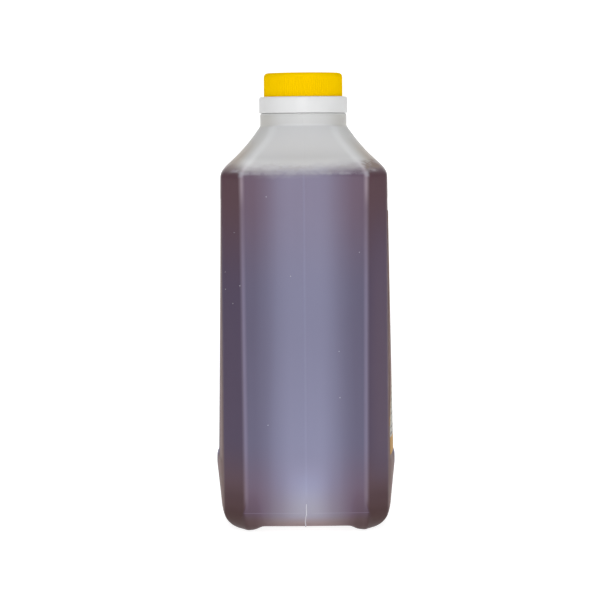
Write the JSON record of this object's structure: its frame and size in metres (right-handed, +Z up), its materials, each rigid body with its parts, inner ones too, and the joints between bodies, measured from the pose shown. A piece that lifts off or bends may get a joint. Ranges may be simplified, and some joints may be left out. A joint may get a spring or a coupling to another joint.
{
  "type": "honey bottle",
  "caption": "Rectangular blow-moulded jug of milky plastic full of honey, with a ribbed screw cap, a tamper ring and a side label.",
  "frame": {"origin": "middle of the base, on the surface that the bottle stands on", "axes": "+Z up through the cap, +X out of the wide face that carries the label, +Y out of a narrow face"},
  "size_m": [0.0964, 0.135, 0.239],
  "materials": {
    "natural_plastic": "milky, translucent, satin",
    "honey": "dark amber liquid",
    "yellow_plastic": "satin, fine ribs",
    "white_plastic": "satin",
    "label_paper": "coated paper, printed fields of colour"
  },
  "bodies": {
    "root": {"bottle": "natural_plastic", "honey": "honey", "cap": "yellow_plastic", "tamper_ring": "white_plastic", "label": "label_paper"}
  },
  "joints": []
}
